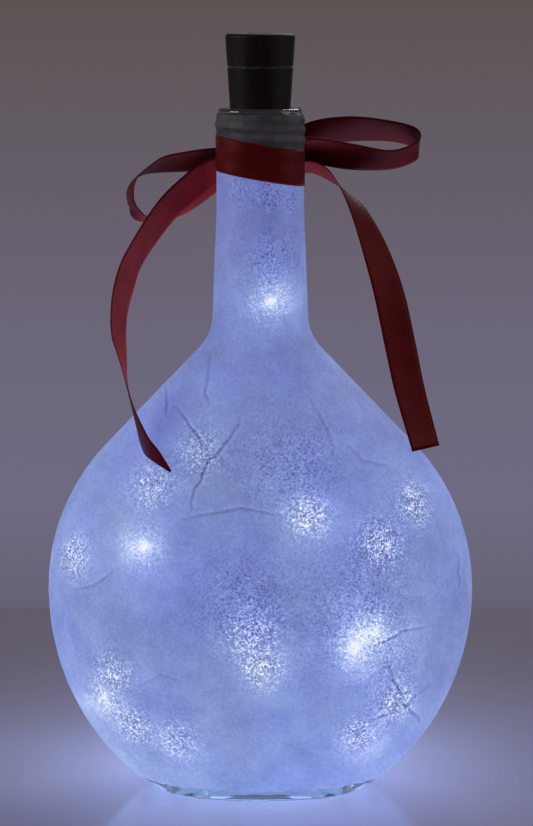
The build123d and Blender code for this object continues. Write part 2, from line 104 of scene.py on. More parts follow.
def paper_light(finish, spot, fibre, laid):
    """How brightly light comes through the paper, from 0 where it is dark to 1 where it is white."""
    # Crumpled lines 1 to 3 mm apart and grains 0.65 mm across, bright with dark gaps before a light
    lines = {"Scale": per_mm(2.8), "Detail": 2.0, "Distortion": 0.6, "Offset": 0.9, "Gain": 1.5}
    crumple = add(finish, "TexNoise", {"Vector": spot, **lines}, noise_type="RIDGED_MULTIFRACTAL")
    crumple = add(finish, "MapRange", {"Value": crumple, "From Min": 0.72, "From Max": 1.25})
    grains = {"Scale": per_mm(0.65), "Detail": 3.0, "Distortion": 0.9}
    grain = add(finish, "TexNoise", {"Vector": spot, **grains})
    spread = {"From Min": 0.44, "From Max": 0.72, "To Min": -0.22, "To Max": 0.52}
    grain = add(finish, "MapRange", {"Value": grain, **spread})
    bright = add(finish, "Math", {0: crumple, 1: 0.2, 2: grain}, operation="MULTIPLY_ADD")
    shares = {0: laid["pitted"], 1: 0.22, 2: laid["sparkle"]}
    lively = add(finish, "Math", shares, operation="MULTIPLY_ADD")
    bright = add(finish, "Math", {0: bright, 1: lively}, operation="MULTIPLY")
    # Dark pits about 0.5 mm across, where the glue has dried in the sheet
    pits = {"Scale": per_mm(0.75), "Detail": 4.0, "Roughness": 0.65}
    pit = add(finish, "TexNoise", {"Vector": spot, **pits})
    pit = add(finish, "MapRange", {"Value": pit, "From Min": 0.48, "From Max": 0.68, "To Max": 0.22})
    pit = add(finish, "Math", {0: crumple, 1: 0.06, 2: pit}, operation="MULTIPLY_ADD")
    patchy = add(finish, "Math", {0: laid["pitted"], 1: 0.05}, operation="ADD")
    pit = add(finish, "Math", {0: pit, 1: patchy}, operation="MULTIPLY")
    # Cloudy thickness of the sheet, in patches about 14 mm wide down to fine streaks, and its fibres
    clouds = {"Scale": per_mm(14.0), "Detail": 9.0, "Roughness": 0.74}
    cloud = add(finish, "TexNoise", {"Vector": spot, **clouds})
    spread = {"From Min": 0.3, "From Max": 0.7, "To Min": 0.84, "To Max": 1.16}
    cloud = add(finish, "MapRange", {"Value": cloud, **spread})
    spread = {"From Min": 0.3, "From Max": 0.7, "To Min": 0.94, "To Max": 1.06}
    thin = add(finish, "MapRange", {"Value": fibre, **spread})
    shares = {0: laid["pitted"], 1: 0.05, 2: laid["glow"]}
    light = add(finish, "Math", shares, operation="MULTIPLY_ADD")
    light = add(finish, "Math", {0: light, 1: cloud}, operation="MULTIPLY")
    light = add(finish, "Math", {0: light, 1: thin}, operation="MULTIPLY")
    light = add(finish, "Math", {0: light, 1: bright}, operation="ADD")
    light = add(finish, "Math", {0: light, 1: pit}, operation="SUBTRACT")
    # A fold is a dark line 1.6 mm wide that fades to its sides, with a pale edge beside it: painted shade
    # along the fold and a painted highlight on its edge
    for middle, reach, change in ((0.0, 0.8, -0.15), (1.0, 0.9, 0.06)):
        apart = add(finish, "Math", {0: laid["fold_aside"], 1: middle}, operation="SUBTRACT")
        apart = add(finish, "Math", {0: apart}, operation="ABSOLUTE")
        spread = {"From Max": reach, "To Min": change, "To Max": 0.0}
        line = add(finish, "MapRange", {"Value": apart, **spread}, interpolation_type="SMOOTHSTEP")
        shares = {0: line, 1: laid["fold_strength"], 2: light}
        light = add(finish, "Math", shares, operation="MULTIPLY_ADD")
    # The crinkles are darkened by painted shade
    return add(finish, "Math", {0: light, 1: laid["crinkle"]}, operation="SUBTRACT", use_clamp=True)


def tissue_finish():
    """White tissue paper glued on and crinkled, a matt fibrous skin that the lights shine through."""
    finish = new_finish("tissue_paper_glued", {"Roughness": 0.62, "Emission Strength": 1.0})
    spot = add(finish, "TexCoord", {}, gives="Object")
    laid = {}
    for name in ("glow", "sparkle", "pitted", "crinkle", "fold_aside", "fold_strength"):
        laid[name] = add(finish, "Attribute", {}, gives="Fac", attribute_name=name)
    fibres = {"Scale": per_mm(0.9), "Detail": 3.0, "Roughness": 0.6}
    fibre = add(finish, "TexNoise", {"Vector": spot, **fibres})
    # The light through the paper is painted on as emission: the paper glows though it is no lamp
    shades = [(0.0, "#050508"), (1.0, "#ffffff"), (0.12, "#31365a"), (0.24, "#5f699f")]
    shades += [(0.33, "#7384c2"), (0.44, "#8ea2db"), (0.56, "#bccbf6"), (0.72, "#f4f8ff")]
    light = paper_light(finish, spot, fibre, laid)
    shine = add(finish, "ValToRGB", {"Fac": light}, stops=shades)
    # Thin glue lets a bluer light through, in patches about 40 mm wide and where the sheet is pitted
    hue = add(finish, "TexNoise", {"Vector": spot, "Scale": per_mm(40.0), "Detail": 2.0})
    hue = add(finish, "Math", {0: laid["pitted"], 1: 0.2, 2: hue}, operation="MULTIPLY_ADD")
    hue = add(finish, "ValToRGB", {"Fac": hue}, stops=[(0.4, "#f8fbf5"), (0.66, "#eceeff")])
    shine = add(finish, "Mix", {0: 1.0, 6: shine, 7: hue}, data_type="RGBA", blend_type="MULTIPLY")
    # Fibres 0.9 mm across and swellings 5 mm across raise the skin a little
    swellings = {"Scale": per_mm(5.0), "Detail": 4.0, "Distortion": 1.2}
    swelling = add(finish, "TexNoise", {"Vector": spot, **swellings})
    raised = add(finish, "Math", {0: fibre, 1: swelling}, operation="ADD")
    bump = add(finish, "Bump", {"Height": raised, "Strength": 0.45, "Distance": 0.0004})
    # The base colour is a blotched dark grey round the cork, where no light comes through, and a bluer
    # grey where the glow is: painted shade and painted light
    blotches = {"Scale": per_mm(4.5), "Detail": 5.0, "Roughness": 0.6}
    blotch = add(finish, "TexNoise", {"Vector": spot, **blotches})
    grey = add(finish, "ValToRGB", {"Fac": blotch}, stops=[(0.3, "#1f1c1b"), (0.7, "#48444a")])
    tone = add(finish, "ValToRGB", {"Fac": fibre}, stops=[(0.3, "#484c62"), (0.7, "#5c607a")])
    lit = add(finish, "MapRange", {"Value": laid["glow"], "From Min": 0.02, "From Max": 0.2})
    tone = add(finish, "Mix", {0: lit, 6: grey, 7: tone}, data_type="RGBA")
    surface(finish, {"Base Color": tone, "Emission Color": shine, "Normal": bump})
    return finish


def glass_finish():
    """Pale green bottle glass, fire polished, with a faint waviness from the mould."""
    finish = new_finish(
        "bottle_glass_moulded",
        {
            "Base Color": linear("#d9ebe2"),
            "Roughness": 0.04,
            "IOR": 1.52,
            "Transmission Weight": 1.0,
            "Emission Strength": 1.0,
        },
    )
    spot = add(finish, "TexCoord", {}, gives="Object")
    wave = add(finish, "TexNoise", {"Vector": spot, "Scale": per_mm(9.0), "Detail": 1.0})
    bump = add(finish, "Bump", {"Height": wave, "Strength": 0.15, "Distance": 0.0005})
    # The foot and the lip, found by their height in metres, glow with painted light that stands for the
    # light from inside
    height = add(finish, "SeparateXYZ", {"Vector": spot}, gives="Z")
    shades = [(0.0, "#242d42"), (0.222, "#1a1b1e"), (0.02, "#000000"), (0.2208, "#000000")]
    ends = add(finish, "ValToRGB", {"Fac": height}, stops=shades)
    surface(finish, {"Normal": bump, "Emission Color": ends})
    return finish


def satin_finish():
    """Polyester satin, whose long floats give a soft sheen along the ribbon."""
    finish = new_finish(
        "satin_ribbon_woven",
        {
            "Roughness": 0.42,
            "Specular Tint": linear("#d9575b"),
            "Sheen Weight": 0.03,
            "Specular IOR Level": 0.22,
            "Sheen Roughness": 0.35,
            "Sheen Tint": linear("#c8484c"),
        },
    )
    weave = add(finish, "TexCoord", {}, gives="UV")
    spot = add(finish, "TexCoord", {}, gives="Object")
    # Threads are 0.12 mm and too fine to show, so ribs 1 mm apart stand in for them
    rib = {"Scale": 32.0, "Distortion": 0.6, "Detail": 1.0}
    ribs = add(finish, "TexWave", {"Vector": weave, **rib}, bands_direction="Y")
    slub = add(finish, "TexNoise", {"Vector": spot, "Scale": per_mm(7.0), "Detail": 4.0})
    tone = add(finish, "ValToRGB", {"Fac": slub}, stops=[(0.3, "#45080b"), (0.7, "#560d11")])
    bump = add(finish, "Bump", {"Height": ribs, "Strength": 0.12, "Distance": 0.0001})
    surface(finish, {"Base Color": tone, "Normal": bump})
    return finish


def cork_finish():
    """ABS moulded and coloured as dark cork, with flecks and short pores round it."""
    finish = new_finish("abs_cork_moulded", {"Specular IOR Level": 0.14})
    spot = add(finish, "TexCoord", {}, gives="Object")
    squeezed = add(finish, "Mapping", {"Vector": spot, "Scale": (1.0, 1.0, 0.45)})
    grains = {"Scale": per_mm(2.2), "Detail": 6.0, "Roughness": 0.65}
    grain = add(finish, "TexNoise", {"Vector": squeezed, **grains})
    fleck = add(finish, "TexVoronoi", {"Vector": squeezed, "Scale": per_mm(3.2), "Randomness": 1.0})
    pore = add(finish, "MapRange", {"Value": fleck, "From Min": 0.05, "From Max": 0.28})
    tones = [(0.30, "#0b0603"), (0.72, "#1a1009"), (0.5, "#110a05")]
    tone = add(finish, "ValToRGB", {"Fac": grain}, stops=tones)
    dark = add(finish, "Mix", {0: pore, 6: linear("#070402"), 7: tone}, data_type="RGBA")
    rough = add(finish, "MapRange", {"Value": grain, "To Min": 0.42, "To Max": 0.6})
    height = add(finish, "Math", {0: grain, 1: pore}, operation="ADD")
    bump = add(finish, "Bump", {"Height": height, "Strength": 0.3, "Distance": 0.0002})
    surface(finish, {"Base Color": dark, "Roughness": rough, "Normal": bump})
    return finish


def rubber_finish(name, code):
    """Black moulded rubber, dull, with a faint bloom."""
    finish = new_finish(name, {"Roughness": 0.75, "IOR": 1.5})
    spot = add(finish, "TexCoord", {}, gives="Object")
    bloom = add(finish, "TexNoise", {"Vector": spot, "Scale": per_mm(1.5), "Detail": 3.0})
    tone = add(finish, "ValToRGB", {"Fac": bloom}, stops=[(0.35, code), (0.8, "#3a3a3c")])
    surface(finish, {"Base Color": tone})
    return finish


def metal_finish(name, dark, pale, smooth, rough, grain):
    """Drawn or rolled metal, with its roughness broken up along a fine grain."""
    finish = new_finish(name, {"Metallic": 1.0})
    spot = add(finish, "TexCoord", {}, gives="Object")
    scratch = add(finish, "TexNoise", {"Vector": spot, "Scale": per_mm(grain), "Detail": 4.0})
    tone = add(finish, "ValToRGB", {"Fac": scratch}, stops=[(0.3, dark), (0.7, pale)])
    polish = add(finish, "MapRange", {"Value": scratch, "To Min": smooth, "To Max": rough})
    surface(finish, {"Base Color": tone, "Roughness": polish})
    return finish


def plastic_finish(name, dark, pale, rough, grain):
    """Moulded plastic with a spark-eroded grain."""
    finish = new_finish(name, {"Roughness": rough})
    spot = add(finish, "TexCoord", {}, gives="Object")
    eroded = add(finish, "TexNoise", {"Vector": spot, "Scale": per_mm(grain), "Detail": 3.0})
    tone = add(finish, "ValToRGB", {"Fac": eroded}, stops=[(0.35, dark), (0.65, pale)])
    bump = add(finish, "Bump", {"Height": eroded, "Strength": 0.2, "Distance": 0.00005})
    surface(finish, {"Base Color": tone, "Normal": bump})
    return finish


def epoxy_finish():
    """A glossy epoxy drop over a lit chip, white with faint bluer streaks."""
    finish = new_finish("epoxy_light_drop", {"Roughness": 0.12, "IOR": 1.55, "Emission Strength": 3.0})
    spot = add(finish, "TexCoord", {}, gives="Object")
    streak = add(finish, "TexNoise", {"Vector": spot, "Scale": per_mm(1.2), "Detail": 1.0})
    tone = add(finish, "ValToRGB", {"Fac": streak}, stops=[(0.3, "#dfe6ff"), (0.7, "#ffffff")])
    surface(finish, {"Base Color": tone, "Emission Color": tone})
    return finish


tissue = tissue_finish()
glass = glass_finish()
satin = satin_finish()
cork = cork_finish()
gland_rubber = rubber_finish("gland_rubber_moulded", "#141415")
seal_rubber = rubber_finish("seal_rubber_moulded", "#0c0c0d")
cell_steel = metal_finish("nickel_plated_steel_drawn", "#a9a8a2", "#cfcec8", 0.22, 0.42, 0.5)
contact_brass = metal_finish("plated_brass_stamped", "#b79a55", "#d8c07c", 0.2, 0.38, 0.6)
lead_copper = metal_finish("copper_wire_drawn", "#a85f3c", "#c98158", 0.25, 0.4, 0.4)
wire_enamel = metal_finish("tinned_copper_enamelled", "#8f8c88", "#bab6b0", 0.18, 0.32, 0.5)
board_fibreglass = plastic_finish("fibreglass_board_lacquered", "#0c3a1c", "#145329", 0.35, 0.6)
switch_nylon = plastic_finish("black_nylon_moulded", "#0b0b0c", "#1a1a1c", 0.4, 0.25)
resistor_ceramic = plastic_finish("resistor_ceramic_coated", "#101012", "#26262a", 0.3, 0.3)
light_epoxy = epoxy_finish()


# Meshes


def make_piece(name, points, faces, finish, body, threads=None):
    """A smooth mesh from points in millimetres, riding on a body; threads are its cloth coordinates."""
    mesh = bpy.data.meshes.new(name)
    mesh.from_pydata((np.asarray(points) * MM).tolist(), [], faces)
    mesh.polygons.foreach_set("use_smooth", [True] * len(mesh.polygons))
    if threads is not None:
        layer = mesh.uv_layers.new(name="threads")
        corners = np.zeros(len(mesh.loops), int)
        mesh.loops.foreach_get("vertex_index", corners)
        layer.data.foreach_set("uv", np.asarray(threads)[corners].astype(np.float32).ravel())
    mesh.materials.append(finish)
    mesh.validate()
    made = bpy.data.objects.new(name, mesh)
    bpy.context.scene.collection.objects.link(made)
    if body:
        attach(made, body)
    return made


def ring_faces(rows, columns, closed=True):
    """The faces of rows of points, each row closed into a ring or left open."""
    faces = []
    for i in range(rows - 1):
        for j in range(columns if closed else columns - 1):
            k = (j + 1) % columns
            here, above = i * columns, (i + 1) * columns
            faces.append((here + j, here + k, above + k, above + j))
    return faces


def tube_faces(rows, columns):
    """The faces of rows of rings, with the first and the last ring filled."""
    first = tuple(range(columns))[::-1]
    last = tuple((rows - 1) * columns + k for k in range(columns))
    return [*ring_faces(rows, columns), first, last]


# Outline of the flask, as half sizes at a height

belly_height, belly_radius, lower_rise = 66.0, 68.7, 76.0
shoulder_slope, shoulder_fillet = math.radians(46.2), 16.0
side_radius, side_fillet, half_depth = 130.0, 40.0, 40.4
neck_root, neck_top, taper_end, lip_foot = 15.0, 13.65, 190.0, 220.2
tangent_height = belly_height + belly_radius * math.cos(shoulder_slope)
tangent_half = belly_radius * math.sin(shoulder_slope)
corner_height = tangent_height + (tangent_half - neck_root) * math.tan(shoulder_slope)
fillet_length = shoulder_fillet * math.tan((math.pi / 2 - shoulder_slope) / 2)
root_height = corner_height + fillet_length
fillet_start = corner_height - fillet_length * math.sin(shoulder_slope)
side_centre = half_depth - side_radius
side_across = neck_root + side_fillet
side_end = belly_height + math.sqrt((side_radius + side_fillet) ** 2 - (side_across - side_centre) ** 2)
side_meet = belly_height + (side_end - belly_height) * side_radius / (side_radius + side_fillet)


def neck_half(z):
    """The neck's radius, with the chamfer under the lip."""
    if z > lip_foot:
        return neck_top - (z - lip_foot)
    rise = min(max(z, root_height), taper_end) - root_height
    return neck_root - (neck_root - neck_top) * rise / (taper_end - root_height)


def front_half(z):
    """Half the width: an ellipse, a circle, a straight shoulder and a fillet."""
    if z <= belly_height:
        return belly_radius * math.sqrt(1 - ((belly_height - z) / lower_rise) ** 2)
    if z <= tangent_height:
        return math.sqrt(belly_radius**2 - (z - belly_height) ** 2)
    if z <= fillet_start:
        return tangent_half - (z - tangent_height) / math.tan(shoulder_slope)
    if z <= root_height:
        return neck_root + shoulder_fillet - math.sqrt(shoulder_fillet**2 - (root_height - z) ** 2)
    return neck_half(z)


def side_half(z):
    """Half the depth: one long arc that runs into the neck by a wide fillet."""
    if z <= side_meet:
        return side_centre + math.sqrt(side_radius**2 - (z - belly_height) ** 2)
    if z <= side_end:
        return side_across - math.sqrt(side_fillet**2 - (side_end - z) ** 2)
    return neck_half(z)


# Lights, and the wire's way through each

lights = [
    (3.4, -7.3, 160.6),
    (50.0, 0.0, 94.0),
    (29.7, -28.4, 52.8),
    (-27.4, 0.0, 14.6),
    (-22.0, 24.0, 62.0),
    (44.4, 1.0, 27.0),
    (0.5, -28.6, 46.4),
    (-42.2, 0.0, 20.3),
    (32.2, -17.5, 21.3),
    (18.0, 24.8, 66.0),
    (-20.3, 21.6, 107.0),
    (-60.8, 0.0, 76.6),
    (-2.5, 15.5, 45.7),
    (39.5, 12.5, 78.1),
    (15.3, -28.8, 94.8),
    (-36.0, 22.6, 95.8),
    (-50.0, -13.1, 32.7),
    (-49.0, 14.0, 33.6),
    (-36.6, -25.2, 84.5),
    (36.0, -22.6, 56.4),
]
lights = [Vector(place) for place in lights]
glass_wall, near_glass, probe = 3.2, 0.6, 0.5


def inside_level(x, y, z):
    """0 on the bottle's axis and 1 at the inside of the glass."""
    return math.hypot(x / (front_half(z) - glass_wall), y / (side_half(z) - glass_wall))


def light_heading(number):
    """The wire's way through a light, from the light before it to the one after, along the glass."""
    if number == 0:
        return Vector((0, 0, -1))
    x, y, z = lights[number]
    heading = lights[min(number + 1, len(lights) - 1)] - lights[number - 1]
    level = inside_level(x, y, z)
    if level > near_glass:
        wide, deep = front_half(z) - glass_wall, side_half(z) - glass_wall
        rise = (inside_level(x, y, z + probe) - inside_level(x, y, z - probe)) * level
        out = Vector((x / wide**2, y / deep**2, rise)).normalized()
        heading -= out * out.dot(heading)
    return heading.normalized()


# Tissue paper, a fine grid from above the base to under the lip

paper_rows, paper_columns, fine_steps = 236, 400, 4000
paper_bottom, paper_top, paper_lift = 4.2, 220.7, 0.32
plain_bottom, plain_top, plain_share = 152.0, 202.0, 0.5
mean_weight, front_weight = 1.15, 0.35
seam_turn, seam_lap, seam_lift = math.radians(79.0), math.radians(4.0), 0.12
torn_depth, edge_lift = 0.3, 0.02
torn_waves = ((0.5, 9, 0.6), (0.4, 23, 0.0), (0.4, 47, 2.0))

# Relief of the paper: crinkles, folds, and the screw thread's ripples above the ribbon's band.
# The crinkles' noise has its roughness, step between layers, layers, offset and gain.
band_height, band_inner, band_slant = 205.4, 14.0, math.radians(9.8)
crinkle_size, crinkle_height, crinkle_shade = 11.0, 0.2, 0.045
crinkle_noise, crinkle_low, crinkle_range = (0.9, 2.1, 3, 0.95, 1.6), 0.8, 1.6
crinkle_top, crinkle_fade = 196.0, 3.0
fold_height, fold_width, fold_reach, fold_fade, fold_end = 0.3, 0.6, 1.7, 0.7, 0.35
fold_steps, fold_waves = 14, ((0.4, 5.1), (0.2, 11.7))
thread_pitch, thread_height = 3.4, 0.6
thread_bottom, thread_rise, thread_top, thread_fade = 211.2, 0.8, 219.2, 1.2

# Light painted on the paper: each light's own, that of the halo, core and spark where it shows,
# and what the table throws back, and more light towards the left
light_power, light_softness = 450.0, 40.0
halo, halo_width = 4.0, 7.5
core, core_width = 4.0, 4.0
spark, spark_width, spark_clear = 26.0, 1.4, 0.8
grain_share, grain_width, grain_spread = 1.6, 6.2, 0.035
calm, calm_width, full_facing = 0.75, 8.0, 0.4
all_round, from_table, table_reach, brighter_left, left_reach = 4.6, 2.6, 36.0, 0.8, 60.0
half_bright, glow_top, sparkle_top, top_fade = 13.0, 209.0, 205.0, 5.0

# Folds that show on the front, as (across, height) points, each with its strength
folds = [
    ([(-6.6, 125.0), (-12.1, 116.3), (-15.5, 113.5), (-20.1, 105.3), (-22.2, 97.7)], 1.0),
    ([(-26.8, 127.8), (-21.3, 122.4), (-15.5, 113.5)], 0.9),
    ([(-16.5, 144.7), (-17.0, 132.0), (-16.3, 128.8)], 0.5),
    ([(-31.0, 134.0), (-29.2, 126.0)], 0.5),
    ([(-24.4, 95.2), (-17.6, 96.6), (-5.5, 99.0), (8.0, 96.2)], 0.55),
    ([(31.4, 53.7), (39.2, 55.4), (44.9, 58.4), (52.0, 58.8)], 1.0),
    ([(39.9, 48.3), (42.8, 41.8), (45.1, 35.1), (51.2, 25.5)], 1.2),
    ([(33.8, 28.8), (46.5, 32.0)], 1.0),
    ([(43.9, 32.4), (54.5, 38.2)], 0.5),
    ([(-60.2, 69.7), (-52.7, 72.0), (-45.9, 78.2)], 0.5),
    ([(62.7, 81.0), (64.0, 73.2), (63.2, 68.6)], 0.5),
    ([(26.0, 118.0), (33.0, 112.0), (41.0, 109.5)], 0.4),
    ([(14.0, 133.0), (21.0, 123.0), (23.0, 114.0)], 0.35),
    ([(-40.0, 40.0), (-31.0, 45.0), (-24.0, 43.0)], 0.3),
]
# Folds on the back, which is wrapped in the same way
back_folds = [
    ([(8.0, 140.0), (12.0, 126.0), (22.0, 113.0), (25.0, 102.0)], 0.9),
    ([(-30.0, 118.0), (-18.0, 108.0), (-8.0, 104.0), (6.0, 106.0)], 0.7),
    ([(-44.0, 84.0), (-30.0, 76.0), (-16.0, 79.0)], 0.6),
    ([(10.0, 60.0), (26.0, 54.0), (34.0, 43.0), (48.0, 38.0)], 0.8),
    ([(-12.0, 30.0), (2.0, 36.0), (18.0, 32.0)], 0.5),
    ([(-52.0, 50.0), (-46.0, 40.0), (-38.0, 34.0)], 0.6),
    ([(44.0, 96.0), (52.0, 84.0), (50.0, 70.0)], 0.5),
]


def fading(distance, width):
    """1 at no distance, falling smoothly to next to nothing at twice the width."""
    return np.exp(-((distance / width) ** 2))


def up_to(limit, fade, values):
    """1 for values well under a limit, falling to 0 at the limit over a fade."""
    return np.clip((limit - values) / fade, 0, 1)


def nearest_fold(lines, across, up):
    """How far each place lies to either side of the nearest fold, and how strong the fold is there."""
    aside = np.full(across.shape, np.inf)
    shown = np.zeros(across.shape)
    for points, strength in lines:
        line = np.array(points)
        row = np.arange(len(line))
        # A fold wavers a little between its points, and is weaker towards its ends
        steps = np.linspace(0, len(line) - 1, fold_steps * (len(line) - 1))
        waver = sum(height * np.sin(steps * rate) for height, rate in fold_waves)
        fine = np.stack([np.interp(steps, row, line[:, 0]) + waver, np.interp(steps, row, line[:, 1])], 1)
        for k, (start, end) in enumerate(zip(fine, fine[1:])):
            taper = fold_end + (1 - fold_end) * math.sin(math.pi * (k + 0.5) / len(fine))
            run_x, run_z = end - start
            share = ((across - start[0]) * run_x + (up - start[1]) * run_z) / (run_x**2 + run_z**2)
            share = np.clip(share, 0, 1)
            off_x, off_z = across - start[0] - share * run_x, up - start[1] - share * run_z
            gap = np.hypot(off_x, off_z)
            nearer = gap < np.abs(aside)
            aside = np.where(nearer, np.copysign(gap, run_x * off_z - run_z * off_x), aside)
            shown = np.where(nearer, strength * taper * up_to(fold_reach, fold_fade, gap), shown)
    return aside, shown


# Where each light shows on the front of the paper, as (across, height), and how clearly it does
front_shows = [
    (3.4, 161.4, 1.0),
    (48.9, 98.0, 0.75),
    (29.5, 54.6, 1.0),
    (-26.5, 22.3, 0.5),
    (-20.5, 75.0, 0.0),
    (43.2, 33.9, 0.6),
    (0.5, 49.0, 0.7),
    (-41.0, 26.7, 0.6),
    (31.9, 24.1, 0.65),
    (17.0, 79.0, 0.0),
    (-19.1, 115.2, 0.4),
    (-59.6, 80.3, 0.65),
    (-2.2, 58.4, 0.55),
    (37.8, 86.7, 0.65),
    (15.2, 96.1, 0.65),
    (-34.0, 104.6, 0.45),
    (-49.5, 35.2, 0.9),
    (-46.8, 43.5, 0.5),
    (-36.3, 86.0, 1.0),
    (35.6, 59.1, 0.95),
]
back_clear = 0.5


def shows_at(across, height, side):
    """The place on the paper's front (-1) or back (1) at a distance across and a height."""
    deep = side_half(height) * math.sqrt(1 - (across / front_half(height)) ** 2)
    return np.array([across, side * deep, height])


# Patches where the sheet is pitted, as a middle and a width
pitted_patches = [
    ((10, -31, 111), 15),
    ((30, -36, 66), 19),
    ((-4, -40, 70), 15),
    ((4, -13, 175), 8),
    ((-7, -12, 197), 4),
    ((3, -14, 195), 5),
    ((10, -10, 193), 4),
    ((40, -31, 48), 12),
    ((-16, 30, 100), 13),
    ((20, 34, 60), 14),
    ((-34, 26, 52), 11),
    ((2, 15, 178), 7),
]


def pitted(places):
    """How pitted the sheet is at each place."""
    shown = np.zeros(places.shape[:2])
    for middle, width in pitted_patches:
        shown = np.maximum(shown, fading(np.linalg.norm(places - np.array(middle), axis=2), width))
    return shown


def paper_grid():
    """The paper's rows of places on the glass, the way out at each, and each column's turn."""
    fine = np.linspace(paper_bottom, paper_top, fine_steps)
    halves = np.array([(front_half(z), side_half(z)) for z in fine]) + paper_lift
    # Rows lie further apart along the plain neck
    run = np.hypot(np.diff(fine), np.diff(halves.mean(1)))
    run *= np.where((fine[1:] > plain_bottom) & (fine[1:] < plain_top), plain_share, 1.0)
    run = np.concatenate([[0], np.cumsum(run)])
    heights = np.interp(np.linspace(0, run[-1], paper_rows), run, fine)
    wide = np.array([front_half(z) for z in heights])[:, None] + paper_lift
    deep = np.array([side_half(z) for z in heights])[:, None] + paper_lift
    # The grid is finest on the front, where most of the folds are, and its ends lap at the back
    steps = np.linspace(seam_turn, seam_turn + 2 * math.pi + seam_lap, fine_steps + 1)
    girth = np.hypot(belly_radius * np.sin(steps), half_depth * np.cos(steps))
    girth = girth * (mean_weight - front_weight * np.sin(steps))
    girth = np.concatenate([[0], np.cumsum(girth[1:])])
    turn = np.interp(np.linspace(0, girth[-1], paper_columns), girth, steps)
    x = wide * np.cos(turn)
    y = deep * np.sin(turn)
    z = np.repeat(heights[:, None], paper_columns, 1)
    slope_wide = np.gradient(wide, heights, axis=0)
    slope_deep = np.gradient(deep, heights, axis=0)
    lean = -(slope_wide * x**2 / wide**3 + slope_deep * y**2 / deep**3)
    out = np.stack([x / wide**2, y / deep**2, lean], 2)
    out /= np.linalg.norm(out, axis=2, keepdims=True)
    return np.stack([x, y, z], 2), out, turn


def paper_crinkle(places):
    """How crinkled the paper is at each place, from 0 to 1."""
    ridges = [
        noise.ridged_multi_fractal(Vector(place) / crinkle_size, *crinkle_noise)
        for place in places.reshape(-1, 3)
    ]
    return np.clip((np.array(ridges).reshape(places.shape[:2]) - crinkle_low) / crinkle_range, 0, 1)


def paper_relief(places, turn, crinkle, fold_aside, fold_strength):
    """How far the paper stands off its own level at each place."""
    x, y, z = np.moveaxis(places, 2, 0)
    lift = crinkle_height * crinkle * up_to(crinkle_top, crinkle_fade, z)
    lift += fold_height * fold_strength * fading(fold_aside, fold_width)
    above_band = np.clip((z + x * math.tan(band_slant) - thread_bottom) / thread_rise, 0, 1)
    ripple = 0.5 + 0.5 * np.sin(2 * math.pi * (z / thread_pitch + np.arctan2(y, x) / (2 * math.pi)))
    lift += thread_height * above_band * up_to(thread_top, thread_fade, z) * ripple
    lapped = np.clip((turn - seam_turn - 2 * math.pi + seam_lap / 2) / seam_lap, 0, 1)
    lift += seam_lift * np.clip(lapped * 4, 0, 1)
    # The lowest and the highest row lie down on the glass, and on each other where they lap
    lift[0] = lift[-1] = edge_lift - paper_lift
    lift[[0, -1]] += seam_lift * lapped
    return lift


def paper_lit(places, out):
    """How brightly the lights shine on the paper at each place, and how grainy it looks there."""
    near = np.zeros(places.shape[:2])
    sparkle = np.zeros(places.shape[:2])
    for light, (across, height, clear) in zip(lights, front_shows):
        way = places - np.array(light)
        reach = np.linalg.norm(way, axis=2)
        facing = np.clip((way * out).sum(2) / reach, 0, 1)
        near += light_power * facing / (reach**2 + light_softness)
        front = (-1, shows_at(across, height, -1), clear)
        back = (1, shows_at(light.x, light.z, 1), back_clear)
        for side, middle, clearness in (front, back):
            aside = np.linalg.norm(places - middle, axis=2)
            gap = np.linalg.norm(middle - np.array(light))
            shown = clearness * np.clip(side * out[:, :, 1] / full_facing, 0, 1)
            hot = np.clip(shown - spark_clear, 0, 1) / (1 - spark_clear)
            near += shown * halo * fading(aside, halo_width)
            near += hot * (spark * fading(aside, spark_width) + core * fading(aside, core_width))
            patch = np.clip(shown * grain_share, 0, 1) * fading(aside, grain_width + grain_spread * gap)
            sparkle = np.maximum(sparkle, patch * (1 - calm * hot * fading(aside, calm_width)))
    return near, sparkle


def tissue_paper():
    """The paper skin with its crinkles and folds, and the light that comes through laid out on it."""
    grid, out, turn = paper_grid()
    x, y, z = np.moveaxis(grid, 2, 0)
    fold_aside, fold_strength = np.where(y < 0, nearest_fold(folds, x, z), nearest_fold(back_folds, x, z))
    crinkle = paper_crinkle(grid)
    lift = paper_relief(grid, turn, crinkle, fold_aside, fold_strength)
    # The lower edge is torn
    torn = sum(height * np.sin(turn * rate + start) for height, rate, start in torn_waves)
    z[:2] += torn_depth * torn
    places = grid + out * lift[:, :, None]
    faces = ring_faces(paper_rows, paper_columns, closed=False)
    made = make_piece("tissue_paper_wrap", places.reshape(-1, 3), faces, tissue, "bottle")
    near, sparkle = paper_lit(places, out)
    # Painted light: the table throws some light back on the lowest part, and the left is brighter
    level = near + all_round + from_table * fading(z, table_reach)
    level += brighter_left * np.clip(-x / left_reach, 0, 1)
    laid = {
        "glow": level / (level + half_bright) * up_to(glow_top, top_fade, z),
        "sparkle": sparkle * up_to(sparkle_top, top_fade, z),
        # Painted shade along the crinkles
        "crinkle": crinkle_shade * crinkle**3,
        "fold_aside": fold_aside,
        "fold_strength": fold_strength,
        "pitted": pitted(places),
    }
    for name, values in laid.items():
        layer = made.data.attributes.new(name, "FLOAT", "POINT")
        layer.data.foreach_set("value", values.astype(np.float32).ravel())
    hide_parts("paper_wrap")


tissue_paper()


# Ribbon, as its stations from the middle of the knot: a middle, and the way across it

